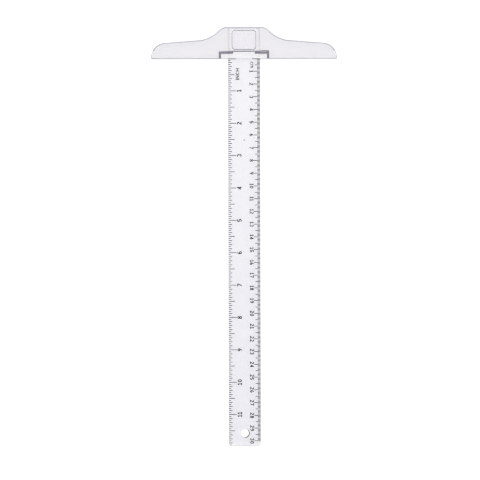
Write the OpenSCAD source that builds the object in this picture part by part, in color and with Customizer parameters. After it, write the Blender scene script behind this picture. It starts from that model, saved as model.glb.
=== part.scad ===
// Junior T square: a clear head with a working edge, and a clear blade with an inch scale
// along one edge and a centimetre scale along the other. The blade slides out of the head.
// +X runs along the head, +Y from the working edge to the back of the head, and +Z up.
// The origin is the zero of both scales: the working edge, on the centre line of the blade,
// in the plane that the blade shares with the drawing.

/* [Head] */
// Length of the working edge
head_w = 145.2; // [120:0.1:200]
// Depth of the head, from the working edge to its back edge
head_d = 24.6; // [22:0.1:34]
// Thickness of the floor, which hangs below the blade as a fence
floor_t = 2.1; // [1.5:0.1:4]
// Thickness of the roof over the blade
roof_t = 1.5; // [1:0.1:3]
// Thickness of the wall that stops the blade
back_t = 1.1; // [0.8:0.1:2.5]
// Half of the flat length of the back edge
crown_half = 13.0; // [8:0.5:16]
// Radius of the shoulder where the back edge turns down
shoulder_r = 9; // [6:0.5:12]
// Radius of the hollow between the shoulder and the wing
hollow_r = 24; // [14:0.5:26]
// Slope of the straight run between shoulder and hollow
shoulder_slope = 42; // [36:1:46]
// Slope of the wing's back edge
wing_slope = 4.5; // [3:0.5:6]
// Radius of the rounded wing tips
tip_r = 11; // [6:0.5:11]

/* [Recess and pad] */
// Width of the recess at the top of the roof
recess_w = 39.5; // [34:0.5:46]
// Depth of the recess from the working edge
recess_d = 5.4; // [4:0.1:6.4]
// How far the walls of the recess lean out over their height
recess_lean = 1.7; // [0.8:0.1:2]
// Width of the upright notch in the middle of the recess
notch_w = 16.9; // [10:0.1:22]
// Width of the raised pad
pad_w = 18.7; // [12:0.1:22]
// Depth of the raised pad, along Y
pad_d = 14.9; // [10:0.1:15]
// Height of the raised pad over the roof
pad_h = 0.6; // [0.3:0.1:1.5]
// Corner radius of the raised pad
pad_r = 2.2; // [1:0.1:4]

/* [Blade] */
// Width of the blade
blade_w = 25.0; // [22:0.5:28]
// Thickness of the blade
blade_t = 1.8; // [1.5:0.1:2.5]
// Length of the blade beyond the working edge
blade_l = 304; // [303.5:0.5:320]
// Radius of the blade's free corners
corner_r = 2; // [1:0.5:4]
// Diameter of the hole that the T square hangs by
hole_dia = 6.5; // [4:0.5:8]
// Distance of the hole from the blade's free end
hole_inset = 10; // [8:0.5:14]
// Distance of the moulding gate's mark from the working edge
gate_y = 64; // [50:1:90]

/* [Print] */
// Thickness of the printed ink
ink_t = 0.04; // [0.02:0.01:0.06]
// Width of a printed line
line_w = 0.46; // [0.2:0.02:0.5]
// Height of the inch numerals
inch_h = 3.5; // [3:0.1:4]
// Height of the centimetre numerals
cm_h = 3.0; // [2.6:0.1:3.2]

/* [Hidden] */

clear = [0.93, 0.925, 0.95, 0.45];
ink = [0.12, 0.11, 0.15];

// The blade's tang, which is the stretch inside the head, is this much thinner below and this
// much narrower on each side, so the tunnel can be as wide as the blade.
gap = 0.1;
head_top = blade_t + gap + roof_t;
tunnel_end = head_d - back_t;
tang_end = tunnel_end - 0.05;
recess_floor = blade_t;
// the pad's middle, between the recess and the back edge
pad_y = (recess_d + head_d) / 2 - 0.55;
cut = 1;

// gate mark: a low round stub left by the moulding
gate_dia = 1.3;
gate_h = 0.12;

// print: lengths of the marks on each scale, and how far the ink stays off the edge
edge_gap = 0.08;
inch = 25.4;
inch_div = 16;
inch_last = 11;
cm = 10;
cm_last = 30;
sixteenth_len = 1.9;
eighth_len = 2.9;
half_inch_len = 4.9;
inch_len = 6.3;
mm_len = 2.25;
half_cm_len = 3.9;
cm_len = 5.0;
zero_len = 6.2;
// middle of each row of numerals and labels, from the centre line
inch_num_x = -3.85;
inch_label_x = -5.15;
cm_num_x = 5.75;
cm_label_x = 6.1;
// height of the labels, and the middle of each from the working edge
inch_label_h = 2.8;
inch_label_y = 12.25;
cm_label_h = 2.2;
cm_label_y = 5.0;

$fn = 48;

// ---- head

// points of an arc about c from angle a0 to a1
function arc(c, r, a0, a1, n = 14) =
    [for (i = [0:n]) let (a = a0 + (a1 - a0) * i / n) c + r * [cos(a), sin(a)]];

// The right half of the head's outline, from the centre line along the back edge to the tip.
// Each stretch starts where the one before it ends, with the same slope.
shoulder_c = [crown_half, head_d - shoulder_r];
slope_start = shoulder_c + shoulder_r * [sin(shoulder_slope), cos(shoulder_slope)];
slope_end = slope_start + 3 * [cos(shoulder_slope), -sin(shoulder_slope)];
hollow_c = slope_end + hollow_r * [sin(shoulder_slope), cos(shoulder_slope)];
wing_start = hollow_c - hollow_r * [sin(wing_slope), cos(wing_slope)];
tip_x = head_w / 2 - tip_r;
tip_y = wing_start[1] - tan(wing_slope) * (tip_x - wing_start[0]) - tip_r / cos(wing_slope);

half_outline = concat(
    [[0, head_d]],
    arc(shoulder_c, shoulder_r, 90, 90 - shoulder_slope),
    arc(hollow_c, hollow_r, 270 - shoulder_slope, 270 - wing_slope),
    arc([tip_x, tip_y], tip_r, 90 - wing_slope, 0, 24),
    [[head_w / 2, 0]]
);

module head_outline() {
    n = len(half_outline) - 1;
    polygon(concat(half_outline, [for (i = [n:-1:1]) [-half_outline[i][0], half_outline[i][1]]]));
}

// a square with round corners, centred on the origin
module rounded_square(w, d, r) {
    square([w - 2 * r, d], center = true);
    square([w, d - 2 * r], center = true);
    for (x = [-1, 1], y = [-1, 1])
        translate([x * (w / 2 - r), y * (d / 2 - r)]) circle(r = r);
}

// The recess has leaning walls, so it is the overlap of a prism along X and one along Y.
module recess() {
    foot_w = recess_w / 2 - recess_lean;
    foot_d = recess_d - recess_lean;
    rise = head_top - recess_floor;
    // the walls go on at the same slope above the roof
    over_w = recess_w / 2 + recess_lean * cut / rise;
    over_d = recess_d + recess_lean * cut / rise;
    translate([0, 0, recess_floor]) {
        intersection() {
            translate([0, over_d, 0]) rotate([90, 0, 0]) linear_extrude(over_d + cut)
                polygon([[-foot_w, 0], [foot_w, 0], [over_w, rise + cut], [-over_w, rise + cut]]);
            translate([-over_w, 0, 0]) rotate([90, 0, 90]) linear_extrude(2 * over_w)
                polygon([[-cut, 0], [foot_d, 0], [over_d, rise + cut], [-cut, rise + cut]]);
        }
        // the upright notch
        translate([-notch_w / 2, -cut, 0]) cube([notch_w, recess_d + cut, rise + cut]);
    }
}

module head() color(clear) {
    difference() {
        translate([0, 0, -floor_t]) linear_extrude(head_top + floor_t) head_outline();
        // tunnel for the tang, closed at the back
        translate([-blade_w / 2, -cut, 0]) cube([blade_w, tunnel_end + cut, blade_t + gap]);
        recess();
    }
    translate([0, pad_y, head_top - cut / 2])
        linear_extrude(pad_h + cut / 2) rounded_square(pad_w, pad_d, pad_r);
}

// ---- blade

// half of the blade's width at y, which is less beside its round corners
function half_w(y) = let (over = corner_r - blade_l - y)
    over <= 0 ? blade_w / 2 : blade_w / 2 - corner_r + sqrt(max(0, corner_r ^ 2 - over ^ 2));

module blade() color(clear) {
    difference() {
        linear_extrude(blade_t) {
            translate([-blade_w / 2, -blade_l + corner_r]) square([blade_w, blade_l - corner_r]);
            translate([-blade_w / 2 + corner_r, -blade_l])
                square([blade_w - 2 * corner_r, 2 * corner_r]);
            for (x = [-1, 1])
                translate([x * (blade_w / 2 - corner_r), corner_r - blade_l]) circle(r = corner_r);
        }
        translate([0, hole_inset - blade_l, -cut]) cylinder(d = hole_dia, h = blade_t + 2 * cut);
    }
    // the tang starts inside the blade, so that the two are one solid
    translate([gap - blade_w / 2, -cut, gap]) cube([blade_w - 2 * gap, tang_end + cut, blade_t - gap]);
    translate([0, -gate_y, blade_t / 2]) cylinder(d = gate_dia, h = blade_t / 2 + gate_h);
}

// ---- print, on the top of the blade

// a mark of length l at y, from the left edge (side -1) or the right edge (side 1)
module mark(side, y, l) {
    near = half_w(y - line_w / 2) - edge_gap;
    translate([side * near, y, blade_t]) mirror([side > 0 ? 1 : 0, 0, 0])
        translate([0, -line_w / 2, 0]) cube([l - blade_w / 2 + near, line_w, ink_t]);
}

// the zero line of each scale lies just in front of the working edge
module zero_marks() color(ink) for (side = [-1, 1]) mark(side, -line_w / 2, zero_len);

// a row of marks on the inch scale, at the given sixteenths
module inch_row(length, sixteenths) color(ink)
    for (i = sixteenths) mark(-1, -i * inch / inch_div, length);

last_sixteenth = floor((blade_l - line_w) / (inch / inch_div));
module inch_sixteenth_marks() inch_row(sixteenth_len, [1:2:last_sixteenth]);
module inch_eighth_marks() inch_row(eighth_len, [for (i = [2:2:last_sixteenth]) if (i % 8 != 0) i]);
module inch_half_marks() inch_row(half_inch_len, [8:16:last_sixteenth]);
module inch_marks() inch_row(inch_len, [for (n = [1:inch_last]) n * inch_div]);

last_mm = min(floor(blade_l - line_w), cm_last * cm);
module millimetre_marks() color(ink)
    for (i = [1:last_mm]) if (i % 5 != 0) mark(1, -i, mm_len);
module half_centimetre_marks() color(ink) for (i = [5:10:last_mm]) mark(1, -i, half_cm_len);
module centimetre_marks() color(ink) for (n = [1:cm_last]) mark(1, -n * cm, cm_len);

// Lettering. A character is one unit high and is drawn as strokes, each a path of points.
pen = 0.19;
lo = pen / 2;
hi = 1 - pen / 2;
letter_gap = 0.18;

// an oval arc about c
function oval(c, rx, ry, a0, a1, n = 12) =
    [for (i = [0:n]) let (a = a0 + (a1 - a0) * i / n) c + [rx * cos(a), ry * sin(a)]];

function unit(v) = v / norm(v);

// direction of the path into and out of point i
function into(p, i) = unit(i > 0 ? p[i] - p[i - 1] : p[1] - p[0]);
function out_of(p, i) = unit(i < len(p) - 1 ? p[i + 1] - p[i] : p[i] - p[i - 1]);

// A point of the stroke's side, s = 1 on the left and -1 on the right: half the pen's width
// from the path, and more at a bend so that the stroke keeps its thickness.
function side(p, i, s) = let (d = unit(into(p, i) + out_of(p, i)))
    p[i] + s * pen / 2 / max(d * into(p, i), 0.5) * [-d[1], d[0]];

// an open stroke along a path of points
module stroke(p) {
    n = len(p) - 1;
    polygon(concat([for (i = [0:n]) side(p, i, 1)], [for (i = [n:-1:0]) side(p, i, -1)]));
}

// a closed oval stroke
module ring(c, rx, ry) difference() {
    polygon(oval(c, rx + pen / 2, ry + pen / 2, 0, 345, 23));
    polygon(oval(c, rx - pen / 2, ry - pen / 2, 0, 345, 23));
}

// width of a character, where w is the width of a round one
function width(c, w) = c == "I" ? pen : c == "1" ? 0.46 : c == "m" ? 1.5 * w : w;

// height of the middle of the upper and the lower bowl, and half the height of each
upper = 0.735;
lower = 0.29;
bowl_up = hi - upper;
bowl_low = lower - lo;

// six: a ring, and a stem that rises from its left side and leans over to the right
module six(w) {
    half = w / 2 - lo;
    ring([w / 2, lower], half, bowl_low);
    stroke(oval([w / 2 + 0.13, lower + 0.03], half + 0.13, hi - lower - 0.03, 178, 92));
}

module figure(c, w) {
    mid = w / 2;
    half = mid - lo;
    if (c == "0") ring([mid, 0.5], half, 0.5 - lo);
    if (c == "1") {
        stroke([[0.26, 0], [0.26, 1]]);
        stroke([[0.06, 0.74], [0.26, 0.91]]);
        stroke([[0.03, lo], [0.49, lo]]);
    }
    if (c == "2") stroke(concat(oval([mid, upper], half, bowl_up, 155, -30), [[0.085, lo], [w, lo]]));
    if (c == "3") {
        stroke(oval([mid, upper], half, bowl_up, 160, -80));
        stroke(oval([mid, lower], half, bowl_low, 80, -160));
    }
    if (c == "4") {
        stroke([[0.72 * w, 0], [0.72 * w, 1]]);
        stroke([[0.73 * w, 0.94], [0.07, 0.3], [w, 0.3]]);
    }
    if (c == "5") {
        stroke([[w - 0.05, hi], [0.13, hi], [0.09, 0.46]]);
        stroke(oval([mid - 0.02, 0.325], half + 0.02, 0.325 - lo, 138, -155));
    }
    if (c == "6") six(w);
    if (c == "7") stroke([[0.02, hi], [w - 0.07, hi], [0.37 * w, 0]]);
    if (c == "8") {
        ring([mid, upper], half - 0.03, bowl_up);
        ring([mid, lower], half, bowl_low);
    }
    if (c == "9") translate([w, 1]) rotate(180) six(w);
}

module letter(c, w) {
    mid = w / 2;
    uprights = c == "I" ? [lo] : c == "N" || c == "H" ? [lo, w - lo] : [];
    for (x = uprights) stroke([[x, 0], [x, 1]]);
    if (c == "N") stroke([[lo, 0.93], [w - lo, 0.07]]);
    if (c == "H") stroke([[lo, 0.52], [w - lo, 0.52]]);
    if (c == "C" || c == "c") stroke(oval([mid + 0.02, 0.5], mid - lo + 0.02, 0.5 - lo, 45, 315, 20));
    if (c == "m") {
        stroke([[lo, 0], [lo, 1]]);
        arch = (1.5 * w - pen) / 2;
        for (x = [lo, lo + arch])
            stroke(concat(oval([x + arch / 2, 0.6], arch / 2, hi - 0.6, 180, 0), [[x + arch, 0]]));
    }
}

// where character i of a word starts; one past the last character, it is the word's length
function start(s, w, i) = i == 0 ? 0 :
    start(s, w, i - 1) + width(s[i - 1], w) + (i < len(s) ? letter_gap : 0);

// A word h high, centred on the blade's middle at the working edge. turn is 90 where it reads
// towards the head, and -90 where it reads away from it.
module word(s, h, turn, w = 0.64) {
    color(ink) rotate(turn) translate([-h * start(s, w, len(s)) / 2, -h / 2, blade_t])
        linear_extrude(ink_t) scale(h) for (i = [0:len(s) - 1]) translate([start(s, w, i), 0]) {
            figure(s[i], w);
            letter(s[i], w);
        }
}

module inch_numerals()
    for (n = [1:inch_last]) translate([inch_num_x, -n * inch, 0]) word(str(n), inch_h, 90);
module centimetre_numerals()
    for (n = [1:cm_last]) translate([cm_num_x, -n * cm, 0]) word(str(n), cm_h, -90);
module inch_label()
    translate([inch_label_x, -inch_label_y, 0]) word("INCH", inch_label_h, 90, 0.82);
module centimetre_label()
    translate([cm_label_x, -cm_label_y, 0]) word("cm", cm_label_h, -90, 0.8);

head();
blade();
zero_marks();
inch_sixteenth_marks();
inch_eighth_marks();
inch_half_marks();
inch_marks();
inch_numerals();
inch_label();
millimetre_marks();
half_centimetre_marks();
centimetre_marks();
centimetre_numerals();
centimetre_label();
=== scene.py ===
"""A clear junior T square on a lit white table: a moulded head, and a blade with printed scales."""
import math

import bmesh
import bpy
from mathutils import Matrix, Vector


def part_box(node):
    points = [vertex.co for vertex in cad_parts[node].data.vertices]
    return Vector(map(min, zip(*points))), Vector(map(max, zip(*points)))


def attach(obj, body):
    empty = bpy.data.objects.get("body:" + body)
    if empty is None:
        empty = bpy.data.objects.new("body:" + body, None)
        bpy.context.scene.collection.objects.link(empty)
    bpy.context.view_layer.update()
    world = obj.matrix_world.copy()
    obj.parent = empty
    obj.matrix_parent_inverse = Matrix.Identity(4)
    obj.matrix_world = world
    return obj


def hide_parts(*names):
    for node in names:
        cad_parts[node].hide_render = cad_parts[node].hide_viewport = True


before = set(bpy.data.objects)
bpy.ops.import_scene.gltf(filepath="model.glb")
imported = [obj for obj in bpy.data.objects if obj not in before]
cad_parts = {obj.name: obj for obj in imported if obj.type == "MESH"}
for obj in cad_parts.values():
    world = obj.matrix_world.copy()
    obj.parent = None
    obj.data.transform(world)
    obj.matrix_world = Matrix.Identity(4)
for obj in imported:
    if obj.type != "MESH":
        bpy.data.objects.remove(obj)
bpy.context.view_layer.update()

MM = 0.001


# ---------------------------------------------------------------------------------------------
# The head is one moulding of clear styrene. It has a fence below the blade, a tunnel that grips
# the blade, a recess that uncovers the zero of the scales, and a raised pad. Its outer edges are
# a little round. Its walls have painted shade by place, for the dark look that bent light gives them.

HEAD_LOW, HEAD_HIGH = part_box("head")
PAD_RISE = 0.6 * MM
ROOF_TOP = HEAD_HIGH.z - PAD_RISE
PAD_FRONT = 6.2 * MM
RECESS_SIDE = 21.0 * MM
RECESS_BACK = 5.8 * MM
RECESS_FLOOR = 1.8 * MM
RECESS_FADE = 0.5 * MM
NOTCH_FRONT = 1.0 * MM
NOTCH_SIDE = 8.5 * MM
TUNNEL_SIDE = 12.6 * MM
TUNNEL_BACK = 23.6 * MM
TUNNEL_TOP = 1.92 * MM

OUTLINE_ROUND = 0.6 * MM
NOTCH_ROUND = 0.85 * MM
CRISP_ROUND = 0.2 * MM
PAD_ROUND = 0.29 * MM
ROUND_STEPS = 4
SHARP = math.radians(35)
FLAT = math.radians(0.5)
SAME_PLACE = 0.001 * MM
SAME_HEIGHT = 0.01 * MM
ALONG_X, ALONG_Y = 0, 1
FAR = 1.0

STYRENE_FACE = (0.995, 0.993, 0.998)
# painted shade for the walls: dark tints that stand in for the dark look bent light gives them
STYRENE_WALL_SHADE = (0.17, 0.163, 0.23)
RECESS_WALL_SHADE = (0.075, 0.07, 0.105)
NOTCH_WALL_SHADE = (0.001, 0.001, 0.0014)
PAD_WALL_SHADE = (0.012, 0.011, 0.018)
STYRENE_GLOW = (0.04, 0.0, 0.16)
STYRENE_IOR = 1.59
HEAD_DEPTH = 36.0
WING_FACE = (0.915, 0.913, 0.909)
WING_FROM, WING_TO = 9.2 * MM, 13.2 * MM
# the wing tips get a near-black painted shade
TIP_WALL_SHADE = (0.02, 0.019, 0.028)
TIP_FROM, TIP_TO = 64.0 * MM, 70.0 * MM
WALL_FROM, WALL_TO = 0.005, 0.15
FADE = 0.1 * MM

SMEAR_SCALE, SMEAR_DETAIL = 55.0, 4.0
SMEAR_FROM, SMEAR_TO = 0.45, 0.75
SMEAR_ROUGH = 0.03
SCRATCH_TURN = 0.5
SCRATCH_SCALE = (900.0, 40.0, 900.0)
SCRATCH_FROM, SCRATCH_TO = 0.66, 0.72
SCRATCH_ROUGH, SCRATCH_CUT = 0.05, 0.003
WAVE_SCALE, WAVE_HEIGHT = 60.0, 0.03


class Socket:
    """An output of a shader node, on which arithmetic adds Math nodes."""

    def __init__(self, tree, out=None):
        self.tree, self.out = tree, out

    def node(self, kind, settings=None, inputs=None, output=0):
        """Adds a node of a type, with its settings, then the values or links of its sockets."""
        added = self.tree.nodes.new(kind)
        for key, value in (settings or {}).items():
            setattr(added, key, value)
        for key, value in (inputs or {}).items():
            socket = added.inputs[key]
            if isinstance(value, Socket):
                self.tree.links.new(value.out, socket)
            elif socket.type == "RGBA":
                socket.default_value = (*value, 1.0)
            else:
                socket.default_value = value
        return Socket(self.tree, added.outputs[output])

    def maths(self, operation, first, second):
        return self.node("ShaderNodeMath", {"operation": operation}, {0: first, 1: second})

    def __add__(self, other):
        return self.maths("ADD", self, other)

    def __radd__(self, other):
        return self.maths("ADD", other, self)

    def __sub__(self, other):
        return self.maths("SUBTRACT", self, other)

    def __rsub__(self, other):
        return self.maths("SUBTRACT", other, self)

    def __mul__(self, other):
        return self.maths("MULTIPLY", self, other)

    def __rmul__(self, other):
        return self.maths("MULTIPLY", other, self)

    def __abs__(self):
        return self.maths("ABSOLUTE", self, 0.0)

    def step(self, low, high):
        """0 below low, 1 above high, and a smooth rise between them."""
        return self.node("ShaderNodeMapRange", {"interpolation_type": "SMOOTHSTEP"},
                         {"Value": self, "From Min": low, "From Max": high})

    def inside(self, reach):
        """1 where this is nearer to 0 than reach, and 0 beyond it."""
        return 1 - abs(self).step(reach, reach + FADE)

    def mix(self, first, second):
        """The first colour where this is 0, and the second where it is 1."""
        return self.node("ShaderNodeMix", {"data_type": "RGBA"}, {0: self, 6: first, 7: second}, 2)

    def parts(self):
        """The X, Y and Z of a vector."""
        return [self.node("ShaderNodeSeparateXYZ", None, {0: self}, axis) for axis in "XYZ"]

    def noise(self, scale, detail):
        return self.node("ShaderNodeTexNoise", None,
                         {"Vector": self, "Scale": scale, "Detail": detail}, "Fac")

    def into(self, shader, name):
        self.tree.links.new(self.out, shader.inputs[name])


def new_material(name):
    """A material, its Principled shader, and the Object coordinates at a point."""
    material = bpy.data.materials.new(name)
    material.use_nodes = True
    tree = material.node_tree
    place = Socket(tree).node("ShaderNodeTexCoord", output="Object")
    return material, tree.nodes["Principled BSDF"], place


def clear_styrene(name, face_tint, painted_wall_shade, depth):
    """Clear moulded styrene. face_tint makes the colours of its level faces from the point's place, and
    the wall tint makes the painted shade of its walls, which stands in for the dark look that bent
    light gives clear walls. depth is how much light a metre of it takes off. Its polish has faint
    smears and hairline scratches, and its faces are a little wavy."""
    material, shader, place = new_material(name)
    normal = place.node("ShaderNodeTexCoord", output="Normal")
    wall = (1 - abs(normal.parts()[2])).step(WALL_FROM, WALL_TO)
    # walls take their painted shade, and level faces take their own tint
    wall.mix(face_tint(place), painted_wall_shade(place)).into(shader, "Base Color")
    # faint smears, and hairline scratches that all run one way
    smear = place.noise(SMEAR_SCALE, SMEAR_DETAIL).step(SMEAR_FROM, SMEAR_TO)
    stroke = place.node("ShaderNodeMapping", None, {
        "Vector": place, "Rotation": (0, 0, SCRATCH_TURN), "Scale": SCRATCH_SCALE})
    scratch = stroke.noise(1.0, 1.0).step(SCRATCH_FROM, SCRATCH_TO)
    (SMEAR_ROUGH * smear + SCRATCH_ROUGH * scratch).into(shader, "Roughness")
    # the waves of a moulded face, a few hundredths of a millimetre high
    relief = WAVE_HEIGHT * place.noise(WAVE_SCALE, 1.0) - SCRATCH_CUT * scratch
    bump = place.node("ShaderNodeBump", None, {"Strength": 1.0, "Distance": MM, "Height": relief})
    bump.into(shader, "Normal")
    shader.inputs["IOR"].default_value = STYRENE_IOR
    shader.inputs["Transmission Weight"].default_value = 1.0
    inside = place.node("ShaderNodeVolumeAbsorption", None, {"Color": STYRENE_GLOW, "Density": depth})
    inside.into(material.node_tree.nodes["Material Output"], "Volume")
    return material


def head_face(place):
    """The wings have a faint grey tint, so that they look as dense as the middle of the head,
    where light crosses the tang too."""
    from_middle = abs(place.parts()[0])
    return from_middle.step(WING_FROM, WING_TO).mix(STYRENE_FACE, WING_FACE)


def head_wall_shade(place):
    """The walls have painted shade for the dark look that bent light gives clear walls. It is darker
    at the recess, the pad and the wing tips than on the other outer walls. The walls of the tunnel
    have the blade beside them and are pale."""
    x, y, z = place.parts()
    tunnel = (x.inside(TUNNEL_SIDE) * (1 - y.step(TUNNEL_BACK, TUNNEL_BACK + FADE))
              * (1 - z.step(TUNNEL_TOP, TUNNEL_TOP + FADE)))
    recess = (x.inside(RECESS_SIDE) * (1 - y.step(RECESS_BACK, RECESS_BACK + RECESS_FADE))
              * z.step(RECESS_FLOOR - FADE, RECESS_FLOOR))
    pad = z.step(ROOF_TOP, ROOF_TOP + FADE)
    # painted shade on the recess walls, near black at the notch
    recess_shade = x.inside(NOTCH_SIDE).mix(RECESS_WALL_SHADE, NOTCH_WALL_SHADE)
    outer_wall_shade = abs(x).step(TIP_FROM, TIP_TO).mix(STYRENE_WALL_SHADE, TIP_WALL_SHADE)
    tint = tunnel.mix(outer_wall_shade, STYRENE_FACE)
    return pad.mix(recess.mix(tint, recess_shade), PAD_WALL_SHADE)


def level(edge, z):
    """Whether an edge lies at a height."""
    return all(abs(v.co.z - z) < SAME_HEIGHT for v in edge.verts)


def within(edge, low, high, axis):
    """Whether both ends of an edge lie between two places along an axis."""
    return all(low < v.co[axis] < high for v in edge.verts)


def moulding(node, name, *rounds):
    """A copy of a CAD node with its loose triangles merged and its flat faces made whole. Each
    round is a width and a test of an edge, and the sharp edges that pass it are rounded."""
    piece = bpy.data.objects.new(name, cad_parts[node].data.copy())
    bpy.context.scene.collection.objects.link(piece)
    for old in ("custom_normal", "sharp_edge", "sharp_face"):
        piece.data.attributes.remove(piece.data.attributes[old])
    mesh = bmesh.new()
    mesh.from_mesh(piece.data)
    bmesh.ops.remove_doubles(mesh, verts=mesh.verts, dist=SAME_PLACE)
    bmesh.ops.dissolve_limit(mesh, angle_limit=FLAT, verts=mesh.verts, edges=mesh.edges)
    for width, test in rounds:
        chosen = [e for e in mesh.edges if e.calc_face_angle() > SHARP and test(e)]
        bmesh.ops.bevel(mesh, geom=chosen, offset=width, offset_type="OFFSET", segments=ROUND_STEPS,
                        profile=0.5, affect="EDGES", clamp_overlap=False)
    bmesh.ops.triangulate(mesh, faces=[f for f in mesh.faces if len(f.verts) > 4])
    mesh.to_mesh(piece.data)
    mesh.free()
    piece.data.materials.clear()
    piece.data.shade_smooth()
    piece.data.set_sharp_from_angle(angle=SHARP)
    weighted = piece.modifiers.new("flat_faces", "WEIGHTED_NORMAL")
    weighted.keep_sharp = True
    return piece


def pad_edge(edge):
    """Whether an edge is part of the pad's rim or of its foot."""
    foot = level(edge, ROOF_TOP) and not edge.is_convex
    return within(edge, PAD_FRONT, FAR, ALONG_Y) and (level(edge, HEAD_HIGH.z) or foot)


def notch_edge(edge):
    """Whether an edge is the roof's rim over the notch."""
    in_notch = (within(edge, -NOTCH_SIDE, NOTCH_SIDE, ALONG_X)
                and within(edge, NOTCH_FRONT, RECESS_BACK, ALONG_Y))
    return edge.is_convex and level(edge, ROOF_TOP) and in_notch


def outer_edge(edge):
    """Whether an edge is one of the outline's, at the top of the roof or at the underside."""
    return edge.is_convex and (level(edge, ROOF_TOP) or level(edge, HEAD_LOW.z))


def at_front(edge):
    """Whether an edge is at the working edge or round the recess."""
    return within(edge, -FAR, RECESS_BACK, ALONG_Y)


head = moulding(
    "head", "head_moulding",
    (PAD_ROUND, pad_edge),
    (NOTCH_ROUND, notch_edge),
    (CRISP_ROUND, lambda edge: outer_edge(edge) and at_front(edge)),
    (OUTLINE_ROUND, lambda edge: outer_edge(edge) and not at_front(edge)))
head.data.materials.append(clear_styrene("clear_head", head_face, head_wall_shade, HEAD_DEPTH))
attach(head, "head")
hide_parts("head")


# ---------------------------------------------------------------------------------------------
# The blade is a second clear moulding, which slides in the head. Its ruling edges are crisp, its
# free corners are round, and it has a hanging hole and the small round mark of its gate.

BLADE_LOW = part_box("blade")[0]
BLADE_TOP = 1.8 * MM
HOLE_Y = -294.0 * MM
HOLE_REACH = 3.9 * MM
HOLE_ROUND = 0.5 * MM
RULING_EDGE_ROUND = 0.12 * MM
STEP_REACH = 1.0 * MM
# painted shade for the blade's outer walls, darker at the inch side
INCH_WALL_SHADE = (0.08, 0.077, 0.11)
CM_WALL_SHADE = (0.12, 0.117, 0.15)
CM_FROM, CM_TO = -2.0 * MM, 6.0 * MM
HOLE_SHADE = (0.0003, 0.0003, 0.0005)
HOLE_LIGHT = (0.75, 0.745, 0.78)
SHADE_REACH = 6.0 * MM
GATE_Y = -64.0 * MM
GATE_REACH = 0.75 * MM
GATE_FACE = (0.35, 0.34, 0.38)
FACE_NEAR = (0.885, 0.882, 0.9)
FACE_FAR = (0.83, 0.827, 0.85)
TANG_FACE = (0.94, 0.938, 0.932)
BLADE_DEPTH = 60.0


def hole_shade(x, y):
    """Where the hole's side and rims are, and how dark their tint is: most at the lower right,
    as if that side were in shade."""
    along = y - HOLE_Y
    hole = 1 - (x * x + along * along).step((HOLE_REACH - FADE) ** 2, HOLE_REACH ** 2)
    return hole, (2 * x - along).step(0.0, SHADE_REACH)


def blade_face(place):
    """A faint grey tint that grows towards the blade's free end and is weaker on the tang. The
    gate's cut face is grey, and the rims of the hole are dark where its side is."""
    x, y, z = place.parts()
    tint = y.step(BLADE_LOW.y, 0.0).mix(FACE_FAR, FACE_NEAR)
    gate = x.inside(GATE_REACH) * (y - GATE_Y).inside(GATE_REACH) * z.step(BLADE_TOP, BLADE_TOP + FADE)
    hole, dark = hole_shade(x, y)
    flat = gate.mix(y.step(-FADE, 0.0).mix(tint, TANG_FACE), GATE_FACE)
    return (hole * dark).mix(flat, HOLE_SHADE)


def blade_wall_shade(place):
    """The walls have painted shade for the dark look that bent light gives clear walls, a little
    darker at the inch scale than at the centimetre scale, and the side of the hole is pale
    where it isn't in painted shade."""
    x, y = place.parts()[:2]
    hole, dark = hole_shade(x, y)
    outline = x.step(CM_FROM, CM_TO).mix(INCH_WALL_SHADE, CM_WALL_SHADE)
    return hole.mix(outline, dark.mix(HOLE_LIGHT, HOLE_SHADE))


def near_hole(edge):
    """Whether an edge is part of the hole or of its rounded rims."""
    return all(math.hypot(v.co.x, v.co.y - HOLE_Y) < HOLE_REACH + HOLE_ROUND for v in edge.verts)


def ruling_edge(edge):
    """Whether an edge is one of the outline's. The step where the tang starts stays sharp."""
    at_face = level(edge, BLADE_LOW.z) or level(edge, BLADE_TOP)
    at_step = within(edge, -STEP_REACH, STEP_REACH, ALONG_Y)
    return edge.is_convex and at_face and not at_step and not near_hole(edge)


blade = moulding(
    "blade", "blade_moulding",
    (HOLE_ROUND, near_hole),
    (RULING_EDGE_ROUND, ruling_edge))
blade.data.materials.append(clear_styrene("clear_blade", blade_face, blade_wall_shade, BLADE_DEPTH))
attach(blade, "blade")
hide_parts("blade")


# ---------------------------------------------------------------------------------------------
# The scales are printed on the top of the blade in black ink, a few hundredths of a millimetre
# thick. Each size of mark, each row of numerals and each word is a layer of its own.

INK_DARK = (0.006, 0.0055, 0.008)
INK_LIGHT = (0.016, 0.015, 0.02)
GRAIN_SCALE, GRAIN_DETAIL = 5000.0, 2.0
GRAIN_FROM, GRAIN_TO = 0.3, 0.8
INK_ROUGH, GRAIN_ROUGH = 0.45, 0.2
INK_SHINE = 0.2


def printed_ink(name):
    """Dull black ink with the fine grain of a screen print."""
    material, shader, place = new_material(name)
    grain = place.noise(GRAIN_SCALE, GRAIN_DETAIL)
    grain.step(GRAIN_FROM, GRAIN_TO).mix(INK_DARK, INK_LIGHT).into(shader, "Base Color")
    (INK_ROUGH + GRAIN_ROUGH * grain).into(shader, "Roughness")
    shader.inputs["Specular IOR Level"].default_value = INK_SHINE
    return material


scale_ink = printed_ink("scale_ink")
for name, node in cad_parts.items():
    if name not in ("head", "blade"):
        node.data.materials.clear()
        node.data.materials.append(scale_ink)


# ---------------------------------------------------------------------------------------------
# The studio is a table that glows white under the T square and fades outwards, a sky that is
# bright overhead and about half as bright at its foot, and a camera straight above.

TABLE_SIZE = 8.0
TABLE_MIDDLE_Y = -0.14
TABLE_DROP = 0.1 * MM
GLOW = 0.68
GLOW_LOST = 0.5
FADE_FROM, FADE_TO = 0.35, 1.6
TABLE_WHITE = (0.35, 0.35, 0.35, 1.0)
TABLE_ROUGH = 0.9
BLACK, WHITE = (0, 0, 0), (1, 1, 1)

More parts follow.
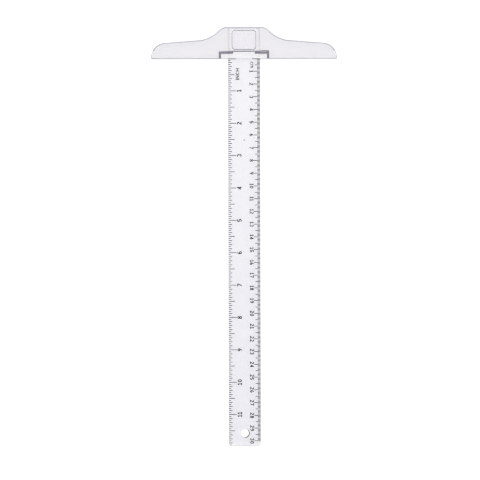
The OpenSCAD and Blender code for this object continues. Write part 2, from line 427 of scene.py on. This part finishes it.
bpy.ops.mesh.primitive_plane_add(size=TABLE_SIZE, location=(0, TABLE_MIDDLE_Y, HEAD_LOW.z - TABLE_DROP))
table = bpy.context.object
table.name = "table"
material, shader, place = new_material("lit_table")
away = place.node("ShaderNodeVectorMath", {"operation": "LENGTH"}, {0: place}, "Value")
lit = 1 - GLOW_LOST * away.step(FADE_FROM, FADE_TO)
lit.mix(BLACK, WHITE).into(shader, "Emission Color")
shader.inputs["Emission Strength"].default_value = GLOW
shader.inputs["Base Color"].default_value = TABLE_WHITE
shader.inputs["Roughness"].default_value = TABLE_ROUGH
shader.inputs["Specular IOR Level"].default_value = 0.0
table.data.materials.append(material)

SKY_FOOT, SKY_RISE = 0.45, 0.55
SKY_HEIGHT = 0.5
SKY_STRENGTH = 1.6

world = bpy.data.worlds.new("studio_sky")
bpy.context.scene.world = world
world.use_nodes = True
background = world.node_tree.nodes["Background"]
direction = Socket(world.node_tree).node("ShaderNodeTexCoord", output="Generated")
sky = SKY_FOOT + SKY_RISE * direction.parts()[2].step(0.0, SKY_HEIGHT)
sky.mix(BLACK, WHITE).into(background, "Color")
background.inputs["Strength"].default_value = SKY_STRENGTH

VIEW_WIDTH, CAMERA_HEIGHT = 0.3766, 1.3
CAMERA_X, CAMERA_Y = -3.45 * MM, -142.4 * MM
CAMERA_TURN = math.radians(-0.13)
SENSOR_WIDTH = 36.0

camera_data = bpy.data.cameras.new("camera")
camera = bpy.data.objects.new("camera", camera_data)
bpy.context.scene.collection.objects.link(camera)
camera.location = (CAMERA_X, CAMERA_Y, CAMERA_HEIGHT)
camera.rotation_euler = (0, 0, CAMERA_TURN)
camera_data.sensor_width = SENSOR_WIDTH
camera_data.lens = SENSOR_WIDTH * (CAMERA_HEIGHT - BLADE_TOP) / VIEW_WIDTH
bpy.context.scene.camera = camera

# Light crosses many faces on its way through clear plastic, and stays sharp all the way.
BOUNCES = 32
SOFTNESS = 1.25

bpy.context.scene.view_settings.view_transform = "Standard"
cycles = bpy.context.scene.cycles
cycles.max_bounces = BOUNCES
cycles.transmission_bounces = BOUNCES
cycles.blur_glossy = 0.0
cycles.filter_width = SOFTNESS

bpy.context.view_layer.update()
